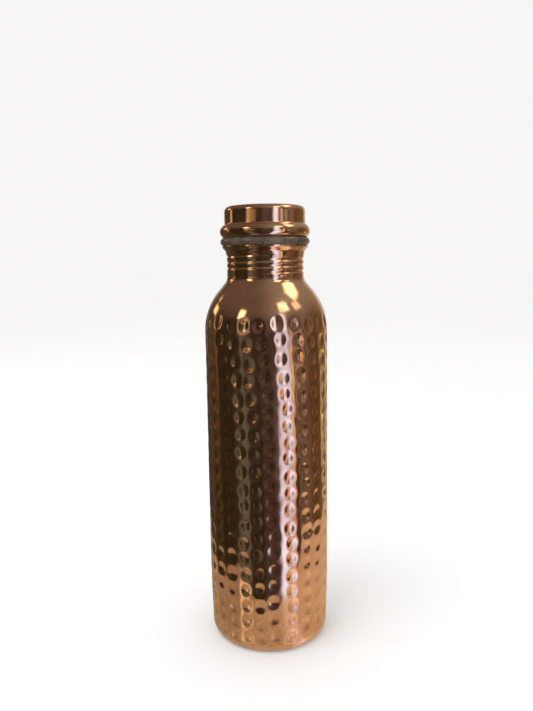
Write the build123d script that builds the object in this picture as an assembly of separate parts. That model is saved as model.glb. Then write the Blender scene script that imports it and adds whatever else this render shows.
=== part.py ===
"""Hammered copper water bottle with a screw cap, in millimetres, +Z up.

The origin is the centre of the foot, on the surface that the bottle stands on.
The bottle is thin sheet copper.  A drawn body carries the neck and its rolled
thread, a pressed disc closes the base, and the cap is a drawn shell over a
threaded plug.  A silicone ring seals the cap against the rim of the neck.
"""

import math
import os

from build123d import *

# ---- driving dimensions ------------------------------------------------------
SHEET = 0.6                 # copper sheet, everywhere
BODY_RADIUS = 36.5          # outside of the straight wall
NECK_RADIUS = 22.6          # outside of the neck, on the crests of its thread
CAP_RADIUS = 23.65          # outside of the cap's straight wall
TOTAL_HEIGHT = 260.5

# ---- foot and base -----------------------------------------------------------
FOOT_RADIUS = 35.55         # where the drawn-in wall would meet the ground
FOOT_CORNER = 6.5           # outside radius of the bottom corner
FOOT_HOLE_RADIUS = 25.0     # the turned-in foot stops here
FOOT_TAPER_HEIGHT = 36.0    # the wall reaches its full radius at this height
FOOT_TAPER_BLEND = 600.0    # radius that eases the taper into the straight wall
DISC_RADIUS = 28.4          # edge of the pressed disc, lapped over the foot
DISC_STEP_FOOT = 24.2       # foot of the step up to the recessed middle
DISC_STEP_HEAD = 22.4
DISC_STEP_BLEND = 1.2
DISC_RECESS = 4.0           # height of the recessed middle
DISC_CROWN_RADIUS = 9.0     # the middle of the disc is pushed up a little more
DISC_CROWN_FOOT = 13.0
DISC_CROWN = 4.8
DISC_CROWN_BLEND = 6.0
BRAZE_WIDTH = 0.65          # the fillet of brazing alloy, along the foot
BRAZE_HEIGHT = 0.55         # and up the edge of the disc

# ---- shoulder, neck and rim --------------------------------------------------
SHOULDER_CORNER = (BODY_RADIUS, 200.6)      # wall and cone would meet here
SHOULDER_BLEND = 37.3
NECK_CORNER = (NECK_RADIUS, 217.2)          # cone and neck would meet here
NECK_BLEND = 6.0
NECK_TOP = 228.0            # the neck is straight up to here
FLARE_START = 230.2         # wall and flare would meet here
RIM_UNDERSIDE = (23.25, 233.8)              # flare and rim bead would meet here
RIM_RADIUS = 25.2
RIM_LOW = 236.1             # lowest point of the rim's outer edge
RIM_TOP = 237.2
RIM_MOUTH_RADIUS = 23.4     # inner edge of the flat on the rim
RIM_EDGE_BLEND = 0.5        # rounds the edges of the rim
RIM_UNDERSIDE_BLEND = 1.5
FLARE_BLEND = 12.0

# ---- screw thread, rolled into neck and plug, right-handed ---------------------
PITCH = 3.4
THREAD_START_ANGLE = -102.0  # degrees round from +X, where the neck's ridge begins
NECK_THREAD_START = 221.4   # height of the ridge's middle where it begins
NECK_THREAD_TURNS = 3.1
RIDGE_BASE = 1.4            # width of a ridge at its foot
RIDGE_CREST = 0.8           # width of a ridge at its crest
RIDGE_MIDDLE = 0.51         # half its width where the neck's and the plug's flanks meet
NECK_RIDGE_HEIGHT = 0.8     # inward from the bore of the neck
GROOVE_DEPTH = 0.55         # the dent that rolling leaves on the outside
GROOVE_MOUTH = 1.7
GROOVE_FLOOR = 0.7
GROOVE_CLEAR = 0.5          # the cutting outline stands this far outside the neck
FLANK_GAP = 0.25            # axial play left under the neck's ridge
PLUG_THREAD_TURNS = 2.2
PLUG_THREAD_LEAD = 0.1      # turns from the start of the neck's ridge to the plug's
PLUG_RIDGE_HEIGHT = 0.75
SWEEP_TURNS = 0.5           # a thread is swept in lengths of this many turns

# ---- cap ---------------------------------------------------------------------
PLUG_RADIUS = 21.0          # outside of the plug, between its ridges
PLUG_BOTTOM = 219.2
PLUG_CORNER = 1.6
PLUG_FLANGE_RADIUS = 23.7
PLUG_FLANGE_BLEND = 0.4
CAP_EDGE_HEIGHT = 259.3     # where the crown and the side wall would meet
CAP_CORNER = 3.0
CAP_CROWN_RADIUS = 8.0      # flat middle of the crown
CAP_CROWN_BLEND = 120.0
BEAD_RADIUS = 26.4          # widest part of the rolled bead
BEAD_SHOULDER = 249.4       # side wall and the top of the bead would meet here
BEAD_TOP = 247.1
BEAD_LOW = 243.7
BEAD_BLEND = 3.7            # rounds the bead's outer edge
CAP_CREASE = 0.8            # rounds the crease above the bead and the turn below it
CURL_CORNER = 24.6          # the curl turns in under the bead here
CAP_UNDERSIDE = 241.6
CURL_END_RADIUS = 21.7
SOLDER_WIDTH = 0.45         # leg of the fillet of soft solder

# ---- seal --------------------------------------------------------------------
SEAL_GAP = 0.05             # to the rim below and to the cap above
SEAL_BORE = 21.25
SEAL_EDGE_LOW = 25.0        # outer radius at the rim
SEAL_BULGE = 26.1           # outer radius half way up
SEAL_EDGE_HIGH = 24.9       # outer radius at the cap


def lathe(section):
    """The solid that a section in the XZ plane sweeps round the Z axis."""
    return revolve(Plane.XZ * section, Axis.Z, 360)


def sheet_section(points, radii, side):
    """A strip of sheet: the skin through points, with rounded corners, and its offset."""
    skin = FilletPolyline(*points, radius=radii)
    strip = Wire(skin.edges()).offset_2d(SHEET, kind=Kind.INTERSECTION, side=side)
    return Face(strip)


def helix_sweep(section_points, start_height, turns, start_angle):
    """Lengths of a (radius, height) outline swept up a right-handed screw line."""
    radius = sum(r for r, _ in section_points) / len(section_points)
    count = math.ceil(turns / SWEEP_TURNS)
    lengths = []
    for i in range(count):
        done = i * SWEEP_TURNS
        step = min(SWEEP_TURNS, turns - done)
        outline = Plane.XZ * Polyline(*section_points, close=True)
        path = Helix(PITCH, PITCH * step, radius)
        length = sweep(Face(Wire(outline.edges())), path=path, is_frenet=True)
        turned = Rot(0, 0, start_angle + 360 * done) * length
        lengths.append(Pos(0, 0, start_height + PITCH * done) * turned)
    return lengths


def ridge_section(foot_radius, crest_radius, root):
    """A trapezium from a root inside the sheet to a narrower crest."""
    flank = (RIDGE_BASE - RIDGE_CREST) / 2 / (crest_radius - foot_radius)
    root_half = RIDGE_BASE / 2 - flank * (root - foot_radius)
    return [
        (root, -root_half),
        (crest_radius, -RIDGE_CREST / 2),
        (crest_radius, RIDGE_CREST / 2),
        (root, root_half),
    ]


def body_section():
    """The drawn body: turned-in foot, wall, shoulder, neck and solid rolled rim."""
    wall = sheet_section(
        [
            (FOOT_HOLE_RADIUS, 0),
            (FOOT_RADIUS, 0),
            (BODY_RADIUS, FOOT_TAPER_HEIGHT),
            SHOULDER_CORNER,
            NECK_CORNER,
            (NECK_RADIUS, NECK_TOP),
        ],
        [FOOT_CORNER, FOOT_TAPER_BLEND, SHOULDER_BLEND, NECK_BLEND],
        Side.LEFT,
    )
    bore = NECK_RADIUS - SHEET
    rim = FilletPolyline(
        (bore, NECK_TOP),
        (bore, FLARE_START),
        (RIM_MOUTH_RADIUS, RIM_TOP),
        (RIM_RADIUS, RIM_TOP),
        (RIM_RADIUS, RIM_LOW),
        RIM_UNDERSIDE,
        (NECK_RADIUS, FLARE_START),
        (NECK_RADIUS, NECK_TOP),
        radius=[
            FLARE_BLEND,
            RIM_EDGE_BLEND,
            RIM_EDGE_BLEND,
            RIM_EDGE_BLEND,
            RIM_UNDERSIDE_BLEND,
            FLARE_BLEND,
        ],
    )
    seam = Edge.make_line((NECK_RADIUS, NECK_TOP), (bore, NECK_TOP))
    return wall + Face(Wire([*rim.edges(), seam]))


def make_body_shell():
    """The body with its thread rolled in: a ridge inside the neck, a groove outside."""
    shell = lathe(body_section())
    bore = NECK_RADIUS - SHEET
    ridge = ridge_section(bore, bore - NECK_RIDGE_HEIGHT, bore + SHEET / 2)
    for length in helix_sweep(ridge, NECK_THREAD_START, NECK_THREAD_TURNS, THREAD_START_ANGLE):
        shell += length
    floor = NECK_RADIUS - GROOVE_DEPTH
    outside = NECK_RADIUS + GROOVE_CLEAR
    floor_half = GROOVE_FLOOR / 2
    mouth_half = GROOVE_MOUTH / 2 + (GROOVE_MOUTH - GROOVE_FLOOR) / 2 / GROOVE_DEPTH * GROOVE_CLEAR
    groove = [(outside, -mouth_half), (floor, -floor_half), (floor, floor_half), (outside, mouth_half)]
    for length in helix_sweep(groove, NECK_THREAD_START, NECK_THREAD_TURNS, THREAD_START_ANGLE):
        shell -= length
    return shell


def make_base_disc():
    """The pressed disc that closes the base, lapped over the foot from inside."""
    return lathe(
        sheet_section(
            [
                (0, DISC_CROWN),
                (DISC_CROWN_RADIUS, DISC_CROWN),
                (DISC_CROWN_FOOT, DISC_RECESS),
                (DISC_STEP_HEAD, DISC_RECESS),
                (DISC_STEP_FOOT, SHEET),
                (DISC_RADIUS, SHEET),
            ],
            [DISC_CROWN_BLEND, DISC_CROWN_BLEND, DISC_STEP_BLEND, DISC_STEP_BLEND],
            Side.LEFT,
        )
    )


def make_base_braze():
    """The ring of brazing alloy round the edge of the disc."""
    return lathe(
        make_face(
            Polyline(
                (DISC_RADIUS, SHEET),
                (DISC_RADIUS + BRAZE_WIDTH, SHEET),
                (DISC_RADIUS, SHEET + BRAZE_HEIGHT),
                close=True,
            )
        )
    )


def make_cap_shell():
    """The drawn cap: crown, side wall, rolled bead, and the curl that grips the plug."""
    return lathe(
        sheet_section(
            [
                (0, TOTAL_HEIGHT),
                (CAP_CROWN_RADIUS, TOTAL_HEIGHT),
                (CAP_RADIUS, CAP_EDGE_HEIGHT),
                (CAP_RADIUS, BEAD_SHOULDER),
                (BEAD_RADIUS, BEAD_TOP),
                (BEAD_RADIUS, BEAD_LOW),
                (CURL_CORNER, CAP_UNDERSIDE),
                (CURL_END_RADIUS, CAP_UNDERSIDE),
            ],
            [CAP_CROWN_BLEND, CAP_CORNER, CAP_CREASE, BEAD_BLEND, BEAD_BLEND, CAP_CREASE],
            Side.RIGHT,
        )
    )


def make_cap_plug():
    """The threaded cup that fills the mouth, with the flange that the cap grips."""
    flange = CAP_UNDERSIDE + SHEET
    cup = lathe(
        sheet_section(
            [
                (0, PLUG_BOTTOM),
                (PLUG_RADIUS, PLUG_BOTTOM),
                (PLUG_RADIUS, flange),
                (PLUG_FLANGE_RADIUS, flange),
            ],
            [PLUG_CORNER, PLUG_FLANGE_BLEND],
            Side.LEFT,
        )
    )
    ridge_drop = 2 * RIDGE_MIDDLE + FLANK_GAP
    ridge = ridge_section(PLUG_RADIUS, PLUG_RADIUS + PLUG_RIDGE_HEIGHT, PLUG_RADIUS - SHEET / 2)
    start_height = NECK_THREAD_START - ridge_drop + PITCH * PLUG_THREAD_LEAD
    start_angle = THREAD_START_ANGLE + 360 * PLUG_THREAD_LEAD
    for length in helix_sweep(ridge, start_height, PLUG_THREAD_TURNS, start_angle):
        cup += length
    return cup


def make_cap_solder():
    """The ring of soft solder round the edge of the plug's flange."""
    seat = CAP_UNDERSIDE + SHEET
    return lathe(
        make_face(
            Polyline(
                (PLUG_FLANGE_RADIUS, seat),
                (PLUG_FLANGE_RADIUS + SOLDER_WIDTH, seat),
                (PLUG_FLANGE_RADIUS, seat + SOLDER_WIDTH),
                close=True,
            )
        )
    )


def make_seal_ring():
    """The silicone ring, squeezed so that its outer face bulges."""
    low = RIM_TOP + SEAL_GAP
    high = CAP_UNDERSIDE - SEAL_GAP
    outline = Polyline((SEAL_EDGE_HIGH, high), (SEAL_BORE, high), (SEAL_BORE, low), (SEAL_EDGE_LOW, low))
    bulge = ThreePointArc((SEAL_EDGE_LOW, low), (SEAL_BULGE, (low + high) / 2), (SEAL_EDGE_HIGH, high))
    return lathe(Face(Wire([*outline.edges(), *bulge.edges()])))


MAKERS = {
    "body_shell": make_body_shell,
    "base_disc": make_base_disc,
    "base_braze": make_base_braze,
    "cap_shell": make_cap_shell,
    "cap_plug": make_cap_plug,
    "cap_solder": make_cap_solder,
    "seal_ring": make_seal_ring,
}

os.makedirs("parts", exist_ok=True)
for name, make in MAKERS.items():
    part = make()
    export_step(part, f"parts/{name}.step")
    print(name, "solids", len(part.solids()), "volume", round(part.volume, 1), "valid", part.is_valid)
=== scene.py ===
"""The looks of a hammered copper water bottle with a screw cap.

Every piece is turned: its section is an outline of radius and height, spun round
the upright axis.  The hammer marks, the rolled thread and the smith's small
unevenness are reliefs that push the spun skin in along its normal.  Sizes in the
classes are millimetres; meshes are metres in the row frame.
"""

import logging
import math
from dataclasses import dataclass, field, replace
from enum import Enum
from typing import Any, Callable

import bpy
import numpy as np
from mathutils import Matrix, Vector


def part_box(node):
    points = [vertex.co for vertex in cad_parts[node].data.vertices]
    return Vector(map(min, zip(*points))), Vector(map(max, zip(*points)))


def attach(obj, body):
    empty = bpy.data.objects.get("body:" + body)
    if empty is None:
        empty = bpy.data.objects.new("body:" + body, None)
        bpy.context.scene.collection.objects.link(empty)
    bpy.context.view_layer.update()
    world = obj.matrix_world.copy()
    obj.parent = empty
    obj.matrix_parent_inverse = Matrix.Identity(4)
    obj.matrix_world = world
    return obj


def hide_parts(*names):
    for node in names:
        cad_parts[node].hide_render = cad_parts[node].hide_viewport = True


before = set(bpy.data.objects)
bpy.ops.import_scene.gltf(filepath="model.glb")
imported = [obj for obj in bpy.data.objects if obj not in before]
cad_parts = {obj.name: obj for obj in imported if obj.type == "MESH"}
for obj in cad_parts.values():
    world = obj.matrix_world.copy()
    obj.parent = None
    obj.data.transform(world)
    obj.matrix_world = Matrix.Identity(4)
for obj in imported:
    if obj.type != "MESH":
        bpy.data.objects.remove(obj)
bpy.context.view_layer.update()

LOG = logging.getLogger("bottle")
MM = 0.001  # metres in a millimetre
ON_AXIS = 1e-6  # a radius under this lies on the axis, in millimetres
STRAIGHT = 1e-6  # a corner that turns less than this is straight, in radians
ON_WALL = 0.01  # a point this close to a radius lies on it, in millimetres
FEWEST_ARC_STEPS = 4
Point = tuple[float, float]
Colour = tuple[float, float, float]
Socket = bpy.types.NodeSocket
Input = bpy.types.NodeSocket | float | tuple[float, ...]  # what a node's input takes
Step = Callable[[float, float], float]  # widest spacing at a radius and height
Steps = tuple[float, float, float, float]


# ---- outlines and spinning --------------------


@dataclass
class Outline:
    """A line of corners in the plane of radius and height, each rounded by an arc.

    The line runs with the air on its right and the metal on its left.
    """

    corners: list[Point]
    radii: list[float]
    fine: float = 0.05  # length of the first, even steps along the line
    turn: float = 0.13  # most that two neighbouring steps may turn, in radians

    def beside(self, distance: float) -> "Outline":
        """The parallel outline at a distance to the left.

        Args:
            distance: How far to the left, in millimetres.

        Returns:
            An outline with the same number of corners.
        """
        points = [np.array(p, float) for p in self.corners]
        ways = [(b - a) / np.linalg.norm(b - a) for a, b in zip(points, points[1:])]
        lefts = [np.array((-w[1], w[0])) for w in ways]
        corners = [tuple(points[0] + distance * lefts[0])]
        radii = []
        for i, radius in enumerate(self.radii):
            middle = lefts[i] + lefts[i + 1]
            corners.append(tuple(points[i + 1] + 2 * distance * middle / (middle @ middle)))
            side = np.sign(ways[i][0] * ways[i + 1][1] - ways[i][1] * ways[i + 1][0])
            radii.append(max(0.0, radius - side * distance))
        corners.append(tuple(points[-1] + distance * lefts[-1]))
        return Outline(corners, radii, self.fine, self.turn)

    def _runs(self) -> list[tuple[np.ndarray, float]]:
        """The straight and round runs of the line.

        Returns:
            The points of each run, with its radius, which is inf if it is straight.
        """
        points = [np.array(p, float) for p in self.corners]
        runs = []
        start = points[0]
        for i, radius in enumerate(self.radii):
            before, corner, after = points[i : i + 3]
            u = (corner - before) / np.linalg.norm(corner - before)
            v = (after - corner) / np.linalg.norm(after - corner)
            cross = u[0] * v[1] - u[1] * v[0]
            angle = math.atan2(cross, u @ v)
            if radius <= 0 or abs(angle) < STRAIGHT:
                runs.append((self._straight(start, corner), math.inf))
                start = corner
                continue
            reach = radius * math.tan(abs(angle) / 2)
            begin = corner - u * reach
            runs.append((self._straight(start, begin), math.inf))
            centre = begin + math.copysign(radius, angle) * np.array((-u[1], u[0]))
            count = max(FEWEST_ARC_STEPS, int(abs(angle) * radius / self.fine))
            spoke = begin - centre
            arc = [self._turned(spoke, angle * k / count) + centre for k in range(count + 1)]
            runs.append((np.array(arc), radius))
            start = corner + v * reach
        runs.append((self._straight(start, points[-1]), math.inf))
        return runs

    def _straight(self, a: np.ndarray, b: np.ndarray) -> np.ndarray:
        """Evenly spaced points on a straight run from a to b."""
        return np.linspace(a, b, max(1, int(np.linalg.norm(b - a) / self.fine)) + 1)

    @staticmethod
    def _turned(spoke: np.ndarray, angle: float) -> np.ndarray:
        """A vector turned by an angle, in radians."""
        c, s = math.cos(angle), math.sin(angle)
        return np.array((c * spoke[0] - s * spoke[1], s * spoke[0] + c * spoke[1]))

    def trace(self, step: Step) -> np.ndarray:
        """Points along the line, closer together where it is round or fine work is due.

        Args:
            step: The widest spacing wanted at a radius and height, in millimetres.

        Returns:
            An array of (radius, height) rows from the first corner to the last.
        """
        points, density = [], []
        for run, radius in self._runs():
            least = 1 / (radius * self.turn) if math.isfinite(radius) else 0.0
            for p in run:
                points.append(p)
                density.append(max(least, 1 / step(p[0], p[1])))
        points, density = np.array(points), np.array(density)
        gaps = np.linalg.norm(np.diff(points, axis=0), axis=1)
        along = np.concatenate(([0.0], np.cumsum(gaps * (density[1:] + density[:-1]) / 2)))
        wanted = np.linspace(0.0, along[-1], max(2, math.ceil(along[-1]) + 1))
        return np.stack([np.interp(wanted, along, points[:, k]) for k in (0, 1)], axis=1)


@dataclass
class Spun:
    """A section spun into a grid: rows follow the section, columns go round the axis.

    The section is a closed loop.  Where two neighbouring rows lie on the axis, the
    loop is broken, and each of them shrinks to one vertex.
    """

    section: np.ndarray  # (rows, 2) of radius and height
    columns: int
    skin: np.ndarray  # per row, 0 on the outer skin and 1 on the inner one

    @property
    def angles(self) -> np.ndarray:
        """The angle of each column, from +X towards +Y."""
        return np.arange(self.columns) * (2 * math.pi / self.columns)

    @property
    def normals(self) -> np.ndarray:
        """The unit normal of each row, on the air side of the section.

        Returns:
            An array of (radius, height) rows.
        """
        ahead = np.roll(self.section, -1, 0) - self.section
        behind = np.roll(ahead, 1, 0)
        same_ahead = np.roll(self.skin, -1) == self.skin
        same_behind = np.roll(same_ahead, 1)
        ways = ahead * same_ahead[:, None] + behind * same_behind[:, None]
        ways /= np.linalg.norm(ways, axis=1, keepdims=True)
        return np.stack((ways[:, 1], -ways[:, 0]), axis=1)

    def mesh(self, name: str, relief: np.ndarray | float = 0.0) -> bpy.types.Object:
        """The grid as a closed mesh object with smooth faces.

        Args:
            name: The object's name.
            relief: Per row and column, how far the skin moves along its normal, in
                millimetres.

        Returns:
            The new object, linked to the scene.
        """
        height = np.broadcast_to(relief, (len(self.section), self.columns))
        normal = self.normals
        radius = self.section[:, :1] + normal[:, :1] * height
        level = self.section[:, 1:] + normal[:, 1:] * height
        angle = self.angles[None, :]
        grid = np.stack((radius * np.cos(angle), radius * np.sin(angle), level), axis=2) * MM
        vertices, faces = self._stitched(grid)
        data = bpy.data.meshes.new(name)
        data.from_pydata(vertices.tolist(), [], faces)
        data.polygons.foreach_set("use_smooth", [True] * len(data.polygons))
        data.update()
        piece = bpy.data.objects.new(name, data)
        bpy.context.scene.collection.objects.link(piece)
        return piece

    def _stitched(self, grid: np.ndarray) -> tuple[np.ndarray, list[tuple[int, ...]]]:
        """The grid's mesh, with one vertex where the section meets the axis.

        Args:
            grid: The place of each row and column, in metres.

        Returns:
            The vertices, and the faces as tuples of their numbers.
        """
        rows, columns = grid.shape[:2]
        pole = self.section[:, 0] < ON_AXIS
        index = np.arange(rows * columns).reshape(rows, columns)
        keep = np.ones(rows * columns, bool)
        keep[index[pole, 1:].ravel()] = False
        index[pole] = index[pole, :1]
        index = (np.cumsum(keep) - 1)[index]
        faces = []
        for j in range(rows):
            below, above = index[j], index[(j + 1) % rows]
            if pole[j] and pole[(j + 1) % rows]:
                continue
            for k in range(columns):
                n = (k + 1) % columns
                corners = (int(below[k]), int(below[n]), int(above[n]), int(above[k]))
                faces.append(tuple(dict.fromkeys(corners)))
        return grid.reshape(-1, 3)[keep], faces


def eased(value: np.ndarray) -> np.ndarray:
    """Smoothstep, which rises from 0 at 0 to 1 at 1."""
    t = np.clip(value, 0.0, 1.0)
    return t * t * (3 - 2 * t)


@dataclass(frozen=True)
class Ripples:
    """A smooth random unevenness that closes round the axis."""

    seed: int  # picks the pattern
    across: tuple[int, int]  # fewest and most waves round the axis
    lengths: Point  # shortest and longest wave along the height, in millimetres
    depth: float  # how far down it goes
    waves: int = 14
    calm: Point = (3.0, 0.5)  # what the sum of the waves is divided by and then lowered by

    def on(self, spun: Spun) -> np.ndarray:
        """The unevenness of a grid.

        Args:
            spun: The grid that it lies on.

        Returns:
            From 0 down to its depth below 0, per row and column.
        """
        rng = np.random.default_rng(self.seed)
        level = spun.section[:, 1:]
        angle = spun.angles[None, :]
        total = np.zeros((len(level), spun.columns))
        for _ in range(self.waves):
            around = int(rng.integers(self.across[0], self.across[1] + 1))
            along = 2 * math.pi / rng.uniform(*self.lengths) * rng.choice((-1, 1))
            total += np.sin(around * angle + along * level + rng.uniform(0, 2 * math.pi))
        part, drop = self.calm
        return (total / math.sqrt(self.waves) / part - drop).clip(-1.0, 0.0) * self.depth


# ---- node trees --------------------


@dataclass(frozen=True)
class Mottle:
    """Random patches, where a noise rises from one value to another."""

    scale: float  # how many times finer than a metre
    detail: float  # how many finer layers it has
    rough: float  # how strong the finer layers are
    low: float  # the noise where a patch begins
    high: float  # and where it is full


class Bench:
    """A node tree with short ways to add to it."""

    def __init__(self, owner: bpy.types.Material | bpy.types.World) -> None:
        """Gives its owner an empty node tree.

        Args:
            owner: The material or world.
        """
        owner.use_nodes = True
        self.owner = owner
        self.tree = owner.node_tree
        self.tree.nodes.clear()

    @classmethod
    def begun(cls, name: str) -> "Bench":
        """A bench for a new material of this name."""
        return cls(bpy.data.materials.new(name))

    def done(self, kind: str, inputs: dict[str | int, Input]) -> bpy.types.Material:
        """The material, ended with this shader as its surface."""
        self.add("OutputMaterial", {"Surface": self.add(kind, inputs).outputs[0]})
        return self.owner

    def add(self, kind: str, inputs: dict[str | int, Input] | None = None,
            **settings: Any) -> bpy.types.Node:
        """A new node.

        Args:
            kind: The node's type without its ShaderNode prefix.
            inputs: Values or sockets for its inputs, by name or number.
            settings: The node's own properties.

        Returns:
            The node.
        """
        node = self.tree.nodes.new("ShaderNode" + kind)
        for key, value in settings.items():
            setattr(node, key, value)
        for key, value in (inputs or {}).items():
            self.feed(node.inputs[key], value)
        return node

    def feed(self, socket: Socket, value: Input) -> None:
        """Links an output to a socket, or sets the socket's own value.

        Args:
            socket: The input to feed.
            value: Another node's output, a number, a vector or a colour.
        """
        if isinstance(value, Socket):
            self.tree.links.new(value, socket)
        elif isinstance(value, tuple) and len(value) == 3 and socket.type == "RGBA":
            socket.default_value = (*value, 1.0)
        else:
            socket.default_value = value

    def maths(self, operation: str, *values: Input) -> Socket:
        """The result of a Math node with these values."""
        node = self.add("Math", dict(enumerate(values)), operation=operation)
        return node.outputs[0]

    def spread(self, value: Input, low: float, high: float, to: Point = (0.0, 1.0)) -> Socket:
        """A value eased from the range of low to high onto another, where high may be below low."""
        ends = {0: value, 1: low, 2: high, 3: to[0], 4: to[1]}
        return self.add("MapRange", ends, interpolation_type="SMOOTHSTEP").outputs[0]

    def blend(self, factor: Input, a: Input, b: Input, kind: str = "MIX") -> Socket:
        """Two colours mixed, with this much of the second one, from 0 to 1."""
        node = self.add("Mix", {0: factor, 6: a, 7: b}, data_type="RGBA", blend_type=kind)
        return node.outputs[2]

    def noise(self, where: Input, scale: float, detail: float = 3.0, rough: float = 0.55) -> Socket:
        """A noise from 0 to 1, whose scale says how many times finer than a metre it is."""
        inputs = {"Vector": where, "Scale": scale, "Detail": detail, "Roughness": rough}
        return self.add("TexNoise", inputs).outputs["Fac"]

    def mottle(self, where: Input, patches: Mottle, to: Point = (0.0, 1.0)) -> Socket:
        """Random patches, with the values beside them and inside."""
        noise = self.noise(where, patches.scale, patches.detail, patches.rough)
        return self.spread(noise, patches.low, patches.high, to)

    def bearing(self, parts: bpy.types.bpy_prop_collection) -> Socket:
        """The bearing in radians, from the camera's side to the right, of X, Y and Z outputs."""
        return self.maths("ARCTAN2", parts["X"], self.maths("MULTIPLY", parts["Y"], -1.0))

    def relief(self, height: Input, distance: float, under: Input | None = None,
               strength: float = 1.0) -> Socket:
        """The normal of a fine relief.

        Args:
            height: The relief, from 0 to 1.
            distance: Its depth in metres, below 0 where it goes inwards.
            under: The normal of a relief that it lies on.
            strength: How much of it counts.

        Returns:
            The normal.
        """
        inputs = {"Height": height, "Distance": abs(distance), "Strength": strength}
        if under is not None:
            inputs["Normal"] = under
        return self.add("Bump", inputs, invert=distance < 0).outputs[0]

    def stretched(self, across: float = 1.0, along: float = 1.0) -> Socket:
        """Object coordinates, scaled across the axis and along it."""
        place = self.add("TexCoord").outputs["Object"]
        return self.add("Mapping", {"Vector": place, "Scale": (across, across, along)}).outputs[0]


class Grain(Enum):
    """The way that polishing or pressing has left its fine lines."""

    UPRIGHT = (1.0, 0.04)
    ROUND = (0.03, 1.0)
    EVEN = (1.0, 1.0)


@dataclass(frozen=True)
class CopperFinish:
    """Copper: a bright metal with patches of tarnish, smears and fine lines."""

    name: str
    bright: Colour = (0.93, 0.56, 0.42)
    tarnish: Colour = (0.60, 0.27, 0.16)
    tarnish_share: float = 0.35
    polish: float = 0.06  # roughness where it shines
    smear: float = 0.16  # roughness where it is smeared or tarnished
    grain: Grain = Grain.UPRIGHT
    grain_scale: float = 1800.0
    grain_depth: float = 1.2e-6
    hollow_shade: float = 0.0  # how much darker the bottom of a mark is
    chatter: float = 0.0  # height of the fine level lines that planishing leaves
    worn_foot: float = 0.0  # height of the pits where the piece stands and knocks
    patches: Mottle = Mottle(38.0, 5.0, 0.6, 0.46, 0.70)
    flecks: Mottle = Mottle(420.0, 3.0, 0.7, 0.60, 0.74)
    fleck_share: float = 0.55
    smears: Mottle = Mottle(70.0, 6.0, 0.65, 0.40, 0.68)
    line_dulling: float = 0.03  # roughness that the fine lines add
    chatter_grain: Point = (90.0, 1300.0)
    chatter_where: Mottle = Mottle(55.0, 2.0, 0.55, 0.40, 0.62)
    dimple_share: float = 0.8  # height of the fine dimples, as a share of the chatter's
    worn_heights: Point = (0.045, 0.002)  # where the wear begins and is full, in metres
    worn_least: float = 0.12  # what is left of the wear further up
    pits: Mottle = Mottle(520.0, 4.0, 0.65, 0.47, 0.66)
    pit_tarnish: float = 0.75

    def material(self) -> bpy.types.Material:
        """The finish as a procedural material.

        Returns:
            A new material.
        """
        bench = Bench.begun(self.name)
        place = bench.stretched()
        patches = bench.mottle(place, self.patches)
        flecks = bench.mottle(place, self.flecks)
        hollow = bench.add("Attribute", attribute_name="hollow").outputs["Fac"]
        worn = bench.maths("MAXIMUM", patches, bench.maths("MULTIPLY", flecks, self.fleck_share))
        shade = bench.maths("MULTIPLY", hollow, self.hollow_shade)
        share = bench.maths("MULTIPLY_ADD", worn, self.tarnish_share, shade)
        colour = bench.blend(share, self.bright, self.tarnish)
        lines = bench.noise(bench.stretched(*self.grain.value), self.grain_scale, 4.0, 0.7)
        dull = bench.maths("MAXIMUM", bench.mottle(place, self.smears), worn)
        gloss = bench.spread(dull, 0.0, 1.0, (self.polish, self.smear))
        rough = bench.maths("MULTIPLY_ADD", lines, self.line_dulling, gloss)
        normal = bench.relief(lines, self.grain_depth)
        if self.chatter:
            chatter = bench.noise(bench.stretched(*self.chatter_grain), 1.0, 2.0, 0.5)
            here = bench.mottle(place, self.chatter_where)
            normal = bench.relief(bench.maths("MULTIPLY", chatter, here), self.chatter, normal)
            dimples = bench.noise(place, 260.0, 4.0, 0.6)
            normal = bench.relief(dimples, self.dimple_share * self.chatter, normal)
        if self.worn_foot:
            height = bench.add("SeparateXYZ", {0: place}).outputs["Z"]
            near = bench.spread(height, *self.worn_heights, (self.worn_least, 1.0))
            pitted = bench.maths("MULTIPLY", bench.mottle(place, self.pits), near)
            normal = bench.relief(pitted, -self.worn_foot, normal)
            stain = bench.maths("MULTIPLY", pitted, self.pit_tarnish)
            colour = bench.blend(stain, colour, self.tarnish)
        return bench.done("BsdfPrincipled", {
            "Base Color": colour, "Metallic": 1.0, "Roughness": rough, "Normal": normal})


@dataclass(frozen=True)
class AlloyFinish:
    """A filler metal, cooled as it flowed: dull, mottled and slightly oxidised."""

    name: str
    clean: Colour
    oxide: Colour
    stained: Point = (0.42, 0.66)  # the mottle where the oxide begins and is full
    mottled: Point = (0.3, 0.7)  # its lowest and highest value
    roughness: Point = (0.28, 0.52)
    relief: float = 3e-5
    relief_strength: float = 0.8

    def material(self) -> bpy.types.Material:
        """The finish as a procedural material.

        Returns:
            A new material.
        """
        bench = Bench.begun(self.name)
        mottle = bench.noise(bench.stretched(), 260.0, 5.0, 0.65)
        return bench.done("BsdfPrincipled", {
            "Base Color": bench.blend(bench.spread(mottle, *self.stained), self.clean, self.oxide),
            "Metallic": 1.0,
            "Roughness": bench.spread(mottle, *self.mottled, self.roughness),
            "Normal": bench.relief(mottle, self.relief, strength=self.relief_strength),
        })


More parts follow.
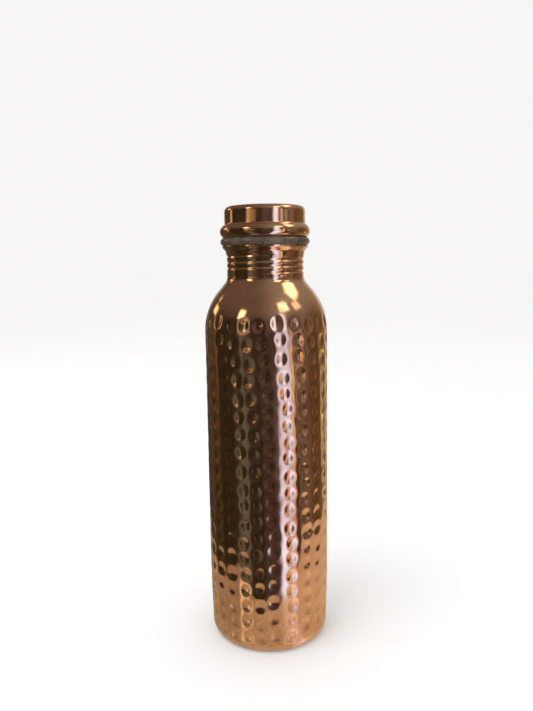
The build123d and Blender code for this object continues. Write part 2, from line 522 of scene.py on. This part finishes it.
@dataclass(frozen=True)
class SiliconeFinish:
    """Milky silicone rubber with a matt moulded skin and a little dust."""

    name: str = "milky_silicone"
    milk: Colour = (0.066, 0.051, 0.040)
    dust: Colour = (0.140, 0.112, 0.090)
    cloud: Mottle = Mottle(120.0, 4.0, 0.6, 0.35, 0.75)
    specks: Mottle = Mottle(1600.0, 2.0, 0.7, 0.66, 0.74)
    cloud_share: float = 0.6
    roughness: Point = (0.24, 0.36)
    relief: float = 1.5e-5
    relief_strength: float = 0.6

    def material(self) -> bpy.types.Material:
        """The finish as a procedural material.

        Returns:
            A new material.
        """
        bench = Bench.begun(self.name)
        place = bench.stretched()
        cloud = bench.mottle(place, self.cloud)
        veil = bench.maths("MULTIPLY", cloud, self.cloud_share)
        share = bench.maths("MAXIMUM", veil, bench.mottle(place, self.specks))
        skin = bench.noise(place, 1400.0, 3.0, 0.6)
        return bench.done("BsdfPrincipled", {
            "Base Color": bench.blend(share, self.milk, self.dust),
            "Roughness": bench.spread(cloud, 0.0, 1.0, self.roughness),
            "Subsurface Weight": 0.35,
            "Subsurface Radius": (0.9, 0.85, 0.8),
            "Subsurface Scale": 0.0012,
            "IOR": 1.95,
            "Specular Tint": (1.0, 0.74, 0.60, 1.0),
            "Normal": bench.relief(skin, self.relief, strength=self.relief_strength),
        })


@dataclass(frozen=True)
class PlainFinish:
    """A matt surface whose colour drifts slightly."""

    name: str
    light: Colour
    shade: float = 0.985  # its darker colour, as a share of the lighter one
    drift: Mottle = Mottle(1.5, 3.0, 0.55, 0.35, 0.65)

    def material(self) -> bpy.types.Material:
        """The finish as a procedural material.

        Returns:
            A new material.
        """
        bench = Bench.begun(self.name)
        drift = bench.mottle(bench.stretched(), self.drift)
        shade = tuple(self.shade * c for c in self.light)
        return bench.done("BsdfDiffuse", {"Color": bench.blend(drift, self.light, shade)})


@dataclass(frozen=True)
class WoodFinish:
    """Polished light wood with a streaky grain, painted light brightening it to the right, and a painted
    glare.
    """

    name: str = "warm_table"
    # painted light: darker on the left and lighter on the right, standing in for light falling from the
    # right
    left: Colour = (0.36, 0.28, 0.16)
    right: Colour = (0.76, 0.60, 0.34)
    across: Point = (-0.09, 0.07)  # where the painted light begins to brighten it and is brightest
    streak: Colour = (0.82, 0.69, 0.42)
    streaks: Mottle = Mottle(26.0, 4.0, 0.55, 0.42, 0.62)
    streak_share: float = 0.4
    stretch: tuple[float, float, float] = (1.0, 6.0, 1.0)
    # painted reflection: the paler colour of the pane's glare, painted into the wood's colour
    painted_glare_colour: Colour = (1.0, 0.88, 0.76)
    painted_glare_bearing: float = 34.0  # of the pane whose glare is painted on it, in degrees
    painted_glare_edges: Point = (11.0, 3.0)  # degrees aside where the painted glare begins and is full
    painted_glare_share: float = 0.8

    def material(self) -> bpy.types.Material:
        """The finish as a procedural material.

        Returns:
            A new material.
        """
        bench = Bench.begun(self.name)
        place = bench.stretched()
        parts = bench.add("SeparateXYZ", {0: place}).outputs
        # painted light: the colour turns from the darker left to the lighter right along X
        across = bench.spread(parts["X"], *self.across)
        # painted reflection: paler where the bearing from the axis meets the pane's
        aside = bench.maths("SUBTRACT", bench.bearing(parts), math.radians(self.painted_glare_bearing))
        edges = (math.radians(edge) for edge in self.painted_glare_edges)
        painted_glare = bench.spread(bench.maths("ABSOLUTE", aside), *edges, (0.0, self.painted_glare_share))
        drawn = bench.add("Mapping", {"Vector": place, "Scale": self.stretch}).outputs[0]
        streaks = bench.mottle(drawn, self.streaks, (0.0, self.streak_share))
        colour = bench.blend(streaks, bench.blend(across, self.left, self.right), self.streak)
        return bench.done("BsdfPrincipled", {
            "Base Color": bench.blend(painted_glare, colour, self.painted_glare_colour), "Roughness": 0.16, "IOR": 1.7,
            "Coat Weight": 1.0, "Coat Roughness": 0.10, "Coat IOR": 1.9})


HAMMERED = CopperFinish("hammered_copper", hollow_shade=0.10, chatter=8e-6, worn_foot=3e-5)
MIRROR = CopperFinish("spun_copper", grain=Grain.ROUND, tarnish_share=0.30)
PRESSED = CopperFinish(
    "pressed_copper", bright=(0.86, 0.50, 0.37), polish=0.20, smear=0.36,
    grain=Grain.ROUND, grain_depth=4e-6)
BRAZING = AlloyFinish("brazing_alloy", clean=(0.80, 0.62, 0.34), oxide=(0.42, 0.28, 0.16))
SOLDER = AlloyFinish("soft_solder", clean=(0.62, 0.61, 0.58), oxide=(0.34, 0.33, 0.31))
SILICONE = SiliconeFinish()
Finish = CopperFinish | AlloyFinish | SiliconeFinish


# ---- the pieces --------------------


@dataclass
class HammerMarks:
    """Columns of round marks that a ball hammer leaves in the wall."""

    front: tuple[float, ...] = (-54.0, -39.0, -24.5, -11.5, 1.0, 18.6, 35.2, 50.0, 65.5)
    others: int = 16  # columns round the back, evenly spaced
    top: float = 193.5  # height of the highest marks
    bottom: float = 7.5  # lowest that a mark's middle may lie
    pitch: float = 10.1  # between marks in a column
    lean: Point = (-7.0, 24.0)  # degrees at the top, dying away over this height
    slant: float = 0.030  # degrees per millimetre further down
    upright: float = 60.0  # how far under the top the slant is nought
    radius: Point = (3.0, 3.55)
    ball: float = 9.2  # radius of the hammer's face
    tall: Point = (1.12, 1.32)  # marks are a little taller than wide
    rim: float = 0.16  # how soft a mark's rim is
    dip: float = 0.11  # depth of the wider dip that the blow drags in
    dip_reach: float = 1.25  # its reach, in mark radii
    inmost: float = 0.8  # least radius that a blow reaches, in wall radii
    far_up: float = 4.5  # where a blow ends, in mark radii along the height
    far_round: float = 4.0  # and round the wall
    start_scatter: float = 1.6  # of the highest mark in a column
    turn_scatter: float = 0.7  # of each mark, in degrees
    pitch_scatter: Point = (-1.5, 1.8)
    seed: int = 7

    def marks(self) -> list[tuple[float, float, float, float]]:
        """Every mark.

        Returns:
            The angle of each in radians from +X, its height, its radius and how many
            times taller than wide it is.
        """
        rng = np.random.default_rng(self.seed)
        marks = []
        start, end = self.front[-1], self.front[0] + 360.0
        gap = (end - start) / (self.others + 1)
        for column in (*self.front, *(start + gap * (k + 1) for k in range(self.others))):
            level = self.top + rng.uniform(-self.start_scatter, self.start_scatter)
            while level > self.bottom:
                down = self.top - level
                lean = self.lean[0] * math.exp(-down / self.lean[1]) + self.slant * (down - self.upright)
                angle = math.radians(column + lean + rng.normal(0.0, self.turn_scatter) - 90.0)
                marks.append((angle, level, rng.uniform(*self.radius), rng.uniform(*self.tall)))
                level -= self.pitch + float(np.clip(rng.normal(0.0, 1.0), *self.pitch_scatter))
        return marks

    def hollow(self, spun: Spun, wall: float) -> tuple[np.ndarray, np.ndarray]:
        """How far the blows have driven the wall in.

        Args:
            spun: The grid of the wall.
            wall: The wall's radius.

        Returns:
            The depth of the marks and of the dips round them, per row and column.
        """
        level = spun.section[:, 1]
        bowls = np.zeros((len(level), spun.columns))
        dips = np.zeros_like(bowls)
        for angle, height, radius, tall in self.marks():
            close = abs(level - height) < self.far_up * radius
            rows = np.nonzero(close & (spun.section[:, 0] > self.inmost * wall))[0]
            away = (spun.angles[None, :] - angle + math.pi) % (2 * math.pi) - math.pi
            near = np.nonzero(abs(away[0]) * wall < self.far_round * radius)[0]
            patch = np.ix_(rows, near)
            along = (level[rows, None] - height) / tall
            spread = ((wall * away[:, near]) ** 2 + along**2) / radius**2
            bowl = (1.0 - spread + np.sqrt((1.0 - spread) ** 2 + self.rim**2)) / 2
            bowl -= self.rim**2 / 4 / (1.0 + spread)
            deep = radius**2 / (2 * self.ball)
            bowls[patch] = np.maximum(bowls[patch], deep * bowl)
            dips[patch] += self.dip * np.exp(-spread / self.dip_reach**2)
        return bowls, dips


@dataclass
class RolledThread:
    """A right-handed screw thread that fades in and out at its ends."""

    start_height: float = 221.4
    start_angle: float = -102.0  # degrees from +X
    turns: float = 3.1
    pitch: float = 3.4
    foot: float = 1.4  # width of the ridge where it leaves the sheet
    crest: float = 0.8
    fade: float = 0.12  # in turns

    def place(self, spun: Spun) -> tuple[np.ndarray, np.ndarray]:
        """Where each point lies against the nearest turn of the ridge.

        Args:
            spun: The grid of the sheet.

        Returns:
            How far above the ridge's middle it is, in millimetres, and how full the
            ridge is there, from 0 to 1.
        """
        part = ((spun.angles - math.radians(self.start_angle)) / (2 * math.pi))[None, :] % 1.0
        level = (spun.section[:, 1:] - self.start_height) / self.pitch
        along = np.round(level - part) + part
        full = eased(along / self.fade) * eased((self.turns - along) / self.fade)
        return (level - along) * self.pitch, full

    def ridge(self, spun: Spun) -> np.ndarray:
        """The ridge, from 0 beside it to 1 on its crest."""
        off, full = self.place(spun)
        return np.clip((self.foot / 2 - abs(off)) / ((self.foot - self.crest) / 2), 0.0, 1.0) * full

    def groove(self, spun: Spun, width: float) -> np.ndarray:
        """The rounded dent behind the ridge, from 0 beside it to 1 on its floor."""
        off, full = self.place(spun)
        return np.exp(-((off / width) ** 2)) * full


@dataclass
class Piece:
    """What every sub-assembly shares."""

    sheet: float = 0.6  # thickness of the copper

    def dress(self, piece: bpy.types.Object, finish: Finish, node: str, body: str, slot: str) -> None:
        """Gives a mesh its finish and its place in the frame, and reports it.

        Args:
            piece: The mesh object.
            finish: Any finish with a material method.
            node: The CAD node that the piece stands for.
            body: The body that it rides on.
            slot: The record's material slot; not used.
        """
        piece.data.materials.append(finish.material())
        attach(piece, body)
        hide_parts(node)
        LOG.info("%s: %d vertices, rides on %s", piece.name, len(piece.data.vertices), body)

    def ring(self, corners: list[Point], radii: list[float], step: float, columns: int) -> Spun:
        """A solid ring spun from a closed outline.

        Args:
            corners: The corners of its section, in order.
            radii: One radius for each corner.
            step: Widest spacing along the section.
            columns: Columns round the axis.

        Returns:
            The spun grid.
        """
        (ar, az), (br, bz) = corners[-1], corners[0]
        middle = ((ar + br) / 2, (az + bz) / 2)
        outline = Outline([middle, *corners, middle], radii)
        section = outline.trace(lambda r, z: step)[:-1]
        return Spun(section, columns, np.zeros(len(section)))


@dataclass
class PressedPiece(Piece):
    """A piece pressed from sheet, given by the corners of its outer skin."""

    corners: tuple[Point, ...] = ()
    radii: tuple[float, ...] = ()
    step: float = 0.5  # widest spacing along both skins
    columns: int = 216

    def pressed(self) -> Spun:
        """The sheet, spun from the outline of its outer skin and its thickness.

        Returns:
            The spun grid.
        """
        outer = Outline(list(self.corners), list(self.radii))
        front = outer.trace(lambda r, z: self.step)
        back = outer.beside(self.sheet).trace(lambda r, z: self.step)[::-1]
        skin = np.repeat((0, 1), (len(front), len(back)))
        return Spun(np.concatenate((front, back)), self.columns, skin)


@dataclass
class BottleBody(Piece):
    """The drawn and spun shell: foot, hammered wall, shoulder, threaded neck and rim."""

    radius: float = 36.5
    neck: float = 22.6
    foot: tuple[Point, ...] = ((25.0, 0.0), (35.55, 0.0))
    taper_top: float = 36.0
    shoulder: float = 200.6
    neck_foot: float = 217.2
    flare: float = 230.2
    rim: tuple[Point, ...] = ((23.25, 233.8), (25.2, 236.1), (25.2, 237.2), (23.4, 237.2), (22.7, 233.7))
    wall_radii: tuple[float, ...] = (6.5, 600.0, 37.3, 6.0)
    rim_radii: tuple[float, ...] = (12.0, 1.5, 0.5, 0.5, 0.5)
    columns: int = 252
    bend: float = 6.0  # how far in the turns of the foot and the wall reach
    fine_above: float = 18.0  # over the shoulder's corner, where the thread needs fine rows
    outer_steps: Steps = (0.42, 1.8, 1.1, 3.0)  # in the thread, cone, wall and foot
    inner_steps: Steps = (0.55, 9.0, 3.4, 9.0)
    groove_depth: float = 0.55
    groove_width: float = 0.62
    ridge_height: float = 0.8
    unevenness: Ripples = Ripples(11, (9, 34), (9.0, 26.0), 0.07)
    smoothed: float = 0.25  # what the spun cone and neck have of it
    smooth_from: Point = (4.0, 8.0)  # how far under the shoulder, and over what height
    marks: HammerMarks = field(default_factory=HammerMarks)
    thread: RolledThread = field(default_factory=RolledThread)

    def spacing(self, steps: Steps, bend: float) -> Step:
        """The widest spacing on one of the skins.

        Args:
            steps: In the thread, on the cone, on the wall and in the foot.
            bend: The radius where the foot ends.

        Returns:
            A function of the radius and the height.
        """
        thread, cone, wall, foot = steps

        def step(radius: float, height: float) -> float:
            """The widest spacing at a radius and height."""
            upper = thread if height > self.shoulder + self.fine_above else cone
            return upper if height > self.shoulder else wall if radius > bend else foot

        return step

    def spun(self) -> Spun:
        """The shell before any relief.

        Returns:
            The grid of both skins, joined at the rim and at the hole in the foot.
        """
        wall = Outline(
            [*self.foot, (self.radius, self.taper_top), (self.radius, self.shoulder),
             (self.neck, self.neck_foot), (self.neck, self.flare)],
            list(self.wall_radii),
        )
        outer = Outline([*wall.corners, *self.rim], [*wall.radii, *self.rim_radii])
        lining = wall.beside(self.sheet)
        inner = Outline(
            [self.rim[-1], *lining.corners[::-1]],
            [self.rim_radii[0] - self.sheet, *lining.radii[::-1]],
        )
        front = outer.trace(self.spacing(self.outer_steps, self.foot[0][0] + self.bend))
        back = inner.trace(self.spacing(self.inner_steps, self.radius - self.bend))[1:]
        skin = np.repeat((0, 1), (len(front), len(back)))
        return Spun(np.concatenate((front, back)), self.columns, skin)

    def build(self) -> None:
        """Builds and dresses the shell."""
        spun = self.spun()
        outer = (spun.skin == 0)[:, None]
        bowls, dips = self.marks.hollow(spun, self.radius)
        waves = self.unevenness.on(spun)
        under, reach = self.smooth_from
        hammered = eased((self.shoulder - under - spun.section[:, 1:]) / reach)
        driven = (bowls + dips) * np.where(outer, 1.0, -1.0)
        wall = waves * (self.smoothed + (1.0 - self.smoothed) * hammered) * outer - driven
        groove = self.groove_depth * self.thread.groove(spun, self.groove_width) * outer
        ridge = self.ridge_height * self.thread.ridge(spun) * ~outer
        piece = spun.mesh("hammered_body", wall - groove + ridge)
        hollow = piece.data.attributes.new("hollow", "FLOAT", "POINT")
        hollow.data.foreach_set("value", (bowls / bowls.max()).astype(np.float32).ravel())
        self.dress(piece, HAMMERED, "body_shell", "bottle", "hammered_copper")


@dataclass
class BaseDisc(PressedPiece):
    """The pressed disc that closes the bottle, seen inside and under the foot."""

    corners: tuple[Point, ...] = (
        (0.0, 4.8), (9.0, 4.8), (13.0, 4.0), (22.4, 4.0), (24.2, 0.6), (28.4, 0.6))
    radii: tuple[float, ...] = (6.0, 6.0, 1.2, 1.2)
    step: float = 0.8
    columns: int = 144
    unevenness: Ripples = Ripples(5, (2, 9), (2.0, 6.0), 0.03)

    def build(self) -> None:
        """Builds and dresses the disc."""
        spun = self.pressed()
        piece = spun.mesh("pressed_base", self.unevenness.on(spun))
        self.dress(piece, PRESSED, "base_disc", "bottle", "pressed_copper")


@dataclass
class FillerRing(Piece):
    """A fillet of filler metal in a corner, scalloped where it froze."""

    name: str = "braze_ring"
    node: str = "base_braze"
    body: str = "bottle"
    slot: str = "brazing_alloy"
    finish: Finish = BRAZING
    seat: Point = (28.4, 0.6)  # the corner that it fills
    legs: Point = (0.65, 0.55)  # its width and height
    blend: float = 0.04
    step: float = 0.07
    columns: int = 216
    free: float = 0.2  # on its free face, a normal points at least this far out and up
    scallops: Ripples = Ripples(3, (12, 60), (40.0, 90.0), 0.25)  # their depth in legs

    def build(self) -> None:
        """Builds and dresses the fillet."""
        radius, height = self.seat
        corners = [(radius, height), (radius + self.legs[0], height), (radius, height + self.legs[1])]
        spun = self.ring(corners, [self.blend] * 3, self.step, self.columns)
        face = (spun.normals.min(axis=1) > self.free)[:, None]
        scallops = self.scallops.on(spun) * min(self.legs)
        piece = spun.mesh(self.name, scallops * face)
        self.dress(piece, self.finish, self.node, self.body, self.slot)


@dataclass
class SealRing(Piece):
    """The squeezed silicone ring, with the parting line of its mould."""

    bore: float = 21.25
    edges: Point = (25.0, 24.9)  # outer radius at the rim and under the cap
    bulge: float = 26.1
    bore_blend: float = 0.25
    edge_blend: float = 0.1
    parting: float = 0.035  # height of the moulding line
    parting_width: float = 0.22
    rounding: float = 0.94  # how much of the outside is round
    sag: Ripples = Ripples(21, (2, 7), (30.0, 60.0), 0.10)
    step: float = 0.3
    columns: int = 192

    def build(self) -> None:
        """Builds and dresses the ring between the heights that the frame gives."""
        low, high = (corner.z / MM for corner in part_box("seal_ring"))
        half = (high - low) / 2
        edge = sum(self.edges) / 2
        sagitta = self.bulge - edge
        round_radius = (half**2 + sagitta**2) / (2 * sagitta)
        centre = self.bulge - round_radius
        nose = centre + round_radius**2 / (edge - centre)
        corners = [
            (self.bore, low), (self.edges[0], low), (nose, (low + high) / 2),
            (self.edges[1], high), (self.bore, high),
        ]
        outside = [self.edge_blend, round_radius * self.rounding, self.edge_blend]
        radii = [self.bore_blend, *outside, self.bore_blend]
        spun = self.ring(corners, radii, self.step, self.columns)
        level = spun.section[:, 1:]
        free = spun.section[:, :1] > self.edges[0]
        off = level - (low + high) / 2
        line = self.parting * np.exp(-((off / self.parting_width) ** 2)) * free
        sag = self.sag.on(spun) * free
        piece = spun.mesh("silicone_seal", line + sag)
        self.dress(piece, SILICONE, "seal_ring", "seal", "silicone")


@dataclass
class CapShell(PressedPiece):
    """The spun cap with its domed crown, straight grip and rolled bead."""

    corners: tuple[Point, ...] = (
        (21.7, 241.6), (24.6, 241.6), (26.4, 243.7), (26.4, 247.1),
        (23.65, 249.4), (23.65, 259.3), (8.0, 260.5), (0.0, 260.5))
    radii: tuple[float, ...] = (0.8, 3.7, 3.7, 0.8, 3.0, 120.0)
    step: float = 0.55
    unevenness: Ripples = Ripples(17, (3, 11), (7.0, 20.0), 0.05)
    calm: float = 14.0  # radius of the crown's middle, where it dies away

    def build(self) -> None:
        """Builds and dresses the cap."""
        spun = self.pressed()
        outer = (spun.skin == 0)[:, None]
        share = eased(spun.section[:, :1] / self.calm)
        piece = spun.mesh("domed_cap", self.unevenness.on(spun) * share * outer)
        self.dress(piece, MIRROR, "cap_shell", "cap", "polished_copper")


@dataclass
class CapPlug(PressedPiece):
    """The threaded cup under the cap."""

    corners: tuple[Point, ...] = ((0.0, 219.2), (21.0, 219.2), (21.0, 242.2), (23.7, 242.2))
    radii: tuple[float, ...] = (1.6, 0.4)
    ridge_height: float = 0.75
    drop: float = 1.27  # the plug's ridge lies this far under the neck's
    lead: float = 0.1  # turns between the starts of the two ridges
    turns: float = 2.2
    step: float = 0.36

    def build(self) -> None:
        """Builds and dresses the plug, whose ridge follows the neck's."""
        neck = RolledThread()
        thread = RolledThread(
            start_height=neck.start_height - self.drop + neck.pitch * self.lead,
            start_angle=neck.start_angle + 360.0 * self.lead,
            turns=self.turns,
        )
        spun = self.pressed()
        wall = (spun.skin == 0) & (abs(spun.section[:, 0] - self.corners[1][0]) < ON_WALL)
        piece = spun.mesh("threaded_plug", self.ridge_height * thread.ridge(spun) * wall[:, None])
        self.dress(piece, PRESSED, "cap_plug", "cap", "pressed_copper")


# ---- the studio --------------------


@dataclass(frozen=True)
class Pane:
    """A bright or dark patch of the surroundings that the copper mirrors."""

    bearing: float  # degrees to the right of the camera's side, seen from the bottle
    half_width: float
    low: float  # lowest and highest elevation, in degrees
    high: float
    colour: Colour
    soft: float = 3.0  # degrees over which its edge fades


@dataclass
class Studio:
    """The floor, the lights, the surroundings and the camera."""

    distance: float = 0.385  # of the camera from the bottle's axis
    height: float = 0.2269
    pitch: float = 8.14  # degrees down
    roll: float = -0.77
    sensor: float = 36.0
    lens: float = 32.69
    floor_size: float = 30.0
    pale: Colour = (0.93, 0.925, 0.915)
    table_x: Point = (-0.118, 0.195)
    table_y: Point = (-0.090, 0.20)
    table_drop: float = 0.0002  # how far the table top lies under the floor
    lamp_place: tuple[float, float, float] = (-0.5, -0.4, 1.2)
    lamp_tilt: Point = (28.0, -22.0)
    lamp_size: float = 0.9
    lamp_power: float = 5.0
    wobble: float = 0.16  # how far the walls' edges wander, in radians
    clutter: Mottle = Mottle(3.4, 5.0, 0.62, 0.3, 0.7)
    clutter_light: Point = (0.55, 1.5)
    ceiling_edges: Point = (6.0, 42.0)  # elevations between which walls turn into ceiling
    ceiling_turn: Point = (-0.35, 0.5)  # how far left and right it has its two colours
    walls: tuple[tuple[float, Colour], ...] = (
        (-165, (0.45, 0.42, 0.38)),
        (-150, (0.070, 0.058, 0.042)),
        (-128, (0.058, 0.046, 0.026)),
        (-108, (0.065, 0.055, 0.018)),
        (-98, (0.032, 0.026, 0.012)),
        (-57, (0.030, 0.026, 0.010)),
        (-52, (0.055, 0.060, 0.040)),
        (-48, (0.120, 0.125, 0.090)),
        (-37, (0.115, 0.130, 0.100)),
        (-32, (0.040, 0.038, 0.022)),
        (-12, (0.028, 0.023, 0.014)),
        (-5, (0.060, 0.044, 0.036)),
        (14, (0.074, 0.058, 0.048)),
        (55, (0.066, 0.046, 0.032)),
        (65, (0.075, 0.055, 0.036)),
        (72, (0.165, 0.135, 0.088)),
        (84, (0.150, 0.110, 0.064)),
        (97, (0.085, 0.052, 0.028)),
        (112, (0.130, 0.082, 0.036)),
        (120, (0.215, 0.160, 0.045)),
        (140, (0.230, 0.175, 0.100)),
        (155, (0.45, 0.42, 0.38)),
    )
    ceiling_left: Colour = (0.13, 0.10, 0.072)
    ceiling_right: Colour = (0.29, 0.27, 0.20)
    panes: tuple[Pane, ...] = (
        Pane(-162, 14, -27, -13, (0.07, 0.055, 0.04), 5),
        Pane(-39, 13, 2.5, 6.5, (0.50, 0.31, 0.10), 1.5),
        Pane(-48, 3, 2.5, 7, (1.00, 0.75, 0.33), 1.5),
        Pane(-46, 7, 8, 20, (0.34, 0.33, 0.25), 4),
        Pane(-51, 6.5, 21, 37, (2.4, 2.1, 1.15), 4),
        Pane(-108, 3, -14, 2, (0.16, 0.10, 0.045), 4),
        Pane(-108, 3.5, 2, 10, (0.80, 0.66, 0.34), 3),
        Pane(-123, 6.5, 12, 20, (1.9, 1.6, 0.75), 4),
        Pane(-130, 3.5, 23, 28, (1, 0.85, 0.4), 2.5),
        Pane(128, 3.5, -17, -9, (0.75, 0.80, 0.34), 3),
        Pane(62, 5, -14, 6, (0.34, 0.28, 0.24), 4),
        Pane(76, 9, 33, 45, (1.3, 1.1, 0.7), 6),
        Pane(99, 18, 46, 62, (2.4, 2.2, 1.35), 7),
        Pane(48.5, 4.2, -70, 10, (0.66, 0.50, 0.36), 2),
        Pane(49, 1.6, -20, -5, (1.15, 0.75, 0.06), 1.2),
        Pane(47.5, 1.6, -70, -21, (1.15, 0.48, 0.40), 1.2),
        Pane(33, 11.5, -70, -5, (0.48, 0.56, 0.76), 2),
        Pane(31.5, 9, -8, 30, (0.48, 0.56, 0.76), 3),
        Pane(33.5, 8, -70, -20, (1.00, 1.35, 1.90), 4),
        Pane(33.5, 7.5, -21, -8, (0.80, 0.98, 1.32), 4),
        Pane(31, 5.5, -10, 3, (0.76, 0.98, 1.32), 4),
        Pane(31, 5.5, 2, 33, (1.10, 1.35, 1.60), 4),
        Pane(42, 11, 36, 52, (2.4, 2.1, 1.3), 4),
    )

    def build(self) -> None:
        """Sets up everything that isn't the bottle."""
        scene = bpy.context.scene
        scene.view_settings.view_transform = "Standard"
        self.add_camera()
        self.add_floor()
        self.add_table()
        self.add_light()
        self.add_surroundings()

    def add_camera(self) -> None:
        """Places the camera in front of the bottle, a little above its neck."""
        data = bpy.data.cameras.new("camera")
        data.sensor_fit = "VERTICAL"
        data.sensor_height = self.sensor
        data.lens = self.lens
        data.clip_start = 0.01
        camera = bpy.data.objects.new("camera", data)
        tilt = Matrix.Rotation(math.radians(90.0 - self.pitch), 4, "X")
        roll = Matrix.Rotation(math.radians(self.roll), 4, "Z")
        camera.matrix_world = Matrix.Translation((0.0, -self.distance, self.height)) @ tilt @ roll
        bpy.context.scene.collection.objects.link(camera)
        bpy.context.scene.camera = camera

    def plane(self, name: str, x: Point, y: Point, z: float) -> bpy.types.Object:
        """A level sheet for the stage.

        Args:
            name: The object's name.
            x: Where it begins and ends along X.
            y: Where it begins and ends along Y.
            z: Its height.

        Returns:
            The sheet.
        """
        data = bpy.data.meshes.new(name)
        corners = [(x[0], y[0], z), (x[1], y[0], z), (x[1], y[1], z), (x[0], y[1], z)]
        data.from_pydata(corners, [], [(0, 1, 2, 3)])
        sheet = bpy.data.objects.new(name, data)
        bpy.context.scene.collection.objects.link(sheet)
        return sheet

    def add_floor(self) -> None:
        """The pale floor, which the copper doesn't mirror."""
        half = self.floor_size / 2
        floor = self.plane("floor", (-half, half), (-half, half), 0.0)
        floor.data.materials.append(PlainFinish("pale_floor", self.pale).material())
        floor.visible_glossy = False

    def add_table(self) -> None:
        """The warm table top that only the copper sees, close round the foot."""
        table = self.plane("table", self.table_x, self.table_y, -self.table_drop)
        table.data.materials.append(WoodFinish().material())
        table.visible_camera = False
        table.visible_diffuse = False
        table.visible_shadow = False

    def add_light(self) -> None:
        """One large soft light above, for the bottle's shadow."""
        data = bpy.data.lights.new("soft_light", "AREA")
        data.shape = "DISK"
        data.size = self.lamp_size
        data.energy = self.lamp_power
        light = bpy.data.objects.new("soft_light", data)
        back, side = (math.radians(angle) for angle in self.lamp_tilt)
        direction = Matrix.Rotation(back, 4, "X") @ Matrix.Rotation(side, 4, "Y")
        light.matrix_world = Matrix.Translation(self.lamp_place) @ direction
        light.visible_glossy = False
        light.visible_camera = False
        bpy.context.scene.collection.objects.link(light)

    def add_surroundings(self) -> None:
        """A dim room with bright panes for the copper, and plain soft light for the rest."""
        world = bpy.data.worlds.new("studio")
        bpy.context.scene.world = world
        bench = Bench(world)
        way = bench.add("TexCoord").outputs["Generated"]
        parts = bench.add("SeparateXYZ", {0: way}).outputs
        bearing = bench.bearing(parts)
        elevation = bench.maths("ARCSINE", parts["Z"])
        noise = bench.noise(way, 5.0, 3.0)
        wobble = bench.maths("MULTIPLY_ADD", noise, self.wobble, -self.wobble / 2)
        turned = bench.maths("ADD", bearing, wobble)
        walls = self.ramp(bench, bench.maths("MULTIPLY_ADD", turned, 1 / (2 * math.pi), 0.5))
        clutter = bench.mottle(way, self.clutter, self.clutter_light)
        mottled = bench.add("CombineColor", {0: clutter, 1: clutter, 2: clutter}).outputs[0]
        walls = bench.blend(1.0, walls, mottled, "MULTIPLY")
        rightward = bench.spread(parts["X"], *self.ceiling_turn)
        ceiling = bench.blend(rightward, self.ceiling_left, self.ceiling_right)
        upward = bench.spread(elevation, *(math.radians(angle) for angle in self.ceiling_edges))
        room = bench.blend(upward, walls, ceiling)
        for pane in self.panes:
            room = bench.blend(self.mask(bench, pane, bearing, elevation), room, pane.colour)
        mirrored = bench.add("Background", {"Color": room, "Strength": 1.0})
        seen = bench.add("LightPath").outputs["Is Camera Ray"]
        backdrop = bench.blend(seen, (1.0, 1.0, 1.0), self.pale)
        plain = bench.add("Background", {"Color": backdrop, "Strength": 1.0})
        sees_copper = bench.add("LightPath").outputs["Is Glossy Ray"]
        mixed = bench.add("MixShader", {0: sees_copper, 1: plain.outputs[0], 2: mirrored.outputs[0]})
        bench.add("OutputWorld", {"Surface": mixed.outputs[0]})

    def ramp(self, bench: Bench, place: Socket) -> Socket:
        """The colours of the walls.

        Args:
            bench: The world's node tree.
            place: The bearing, from 0 behind the bottle once round to 1.

        Returns:
            The colour there.
        """
        node = bench.add("ValToRGB", {"Fac": place})
        stops = node.color_ramp.elements
        while len(stops) < len(self.walls):
            stops.new(1.0)
        for stop, (bearing, colour) in zip(stops, self.walls):
            stop.position = (bearing + 180.0) / 360.0
            stop.color = (*colour, 1.0)
        return node.outputs["Color"]

    @staticmethod
    def mask(bench: Bench, pane: Pane, bearing: Socket, elevation: Socket) -> Socket:
        """Where a pane is.

        Args:
            bench: The world's node tree.
            pane: The pane.
            bearing: The bearing looked in, in radians.
            elevation: The elevation looked at, in radians.

        Returns:
            A value from 0 outside it to 1 inside.
        """
        centre, half = (pane.low + pane.high) / 2, (pane.high - pane.low) / 2
        turned = bench.maths("SUBTRACT", bearing, math.radians(pane.bearing))
        across = bench.maths("ABSOLUTE", bench.maths("WRAP", turned, math.pi, -math.pi))
        along = bench.maths("ABSOLUTE", bench.maths("SUBTRACT", elevation, math.radians(centre)))
        masks = []
        for distance, extent in ((across, pane.half_width), (along, half)):
            edges = (math.radians(extent + side * pane.soft / 2) for side in (1, -1))
            masks.append(bench.spread(distance, *edges))
        return bench.maths("MULTIPLY", *masks)


def main() -> None:
    """Builds the studio and then the bottle, from the foot to the cap."""
    logging.basicConfig(level=logging.INFO, format="%(message)s")
    Studio().build()
    pieces = [
        BottleBody(),
        BaseDisc(),
        FillerRing(),
        SealRing(),
        CapShell(),
        CapPlug(),
        FillerRing(
            name="solder_ring", node="cap_solder", body="cap", slot="soft_solder",
            finish=SOLDER, seat=(23.7, 242.2), legs=(0.45, 0.45),
            scallops=replace(FillerRing.scallops, seed=9)),
    ]
    for piece in pieces:
        piece.build()


if __name__ == "__main__":
    main()
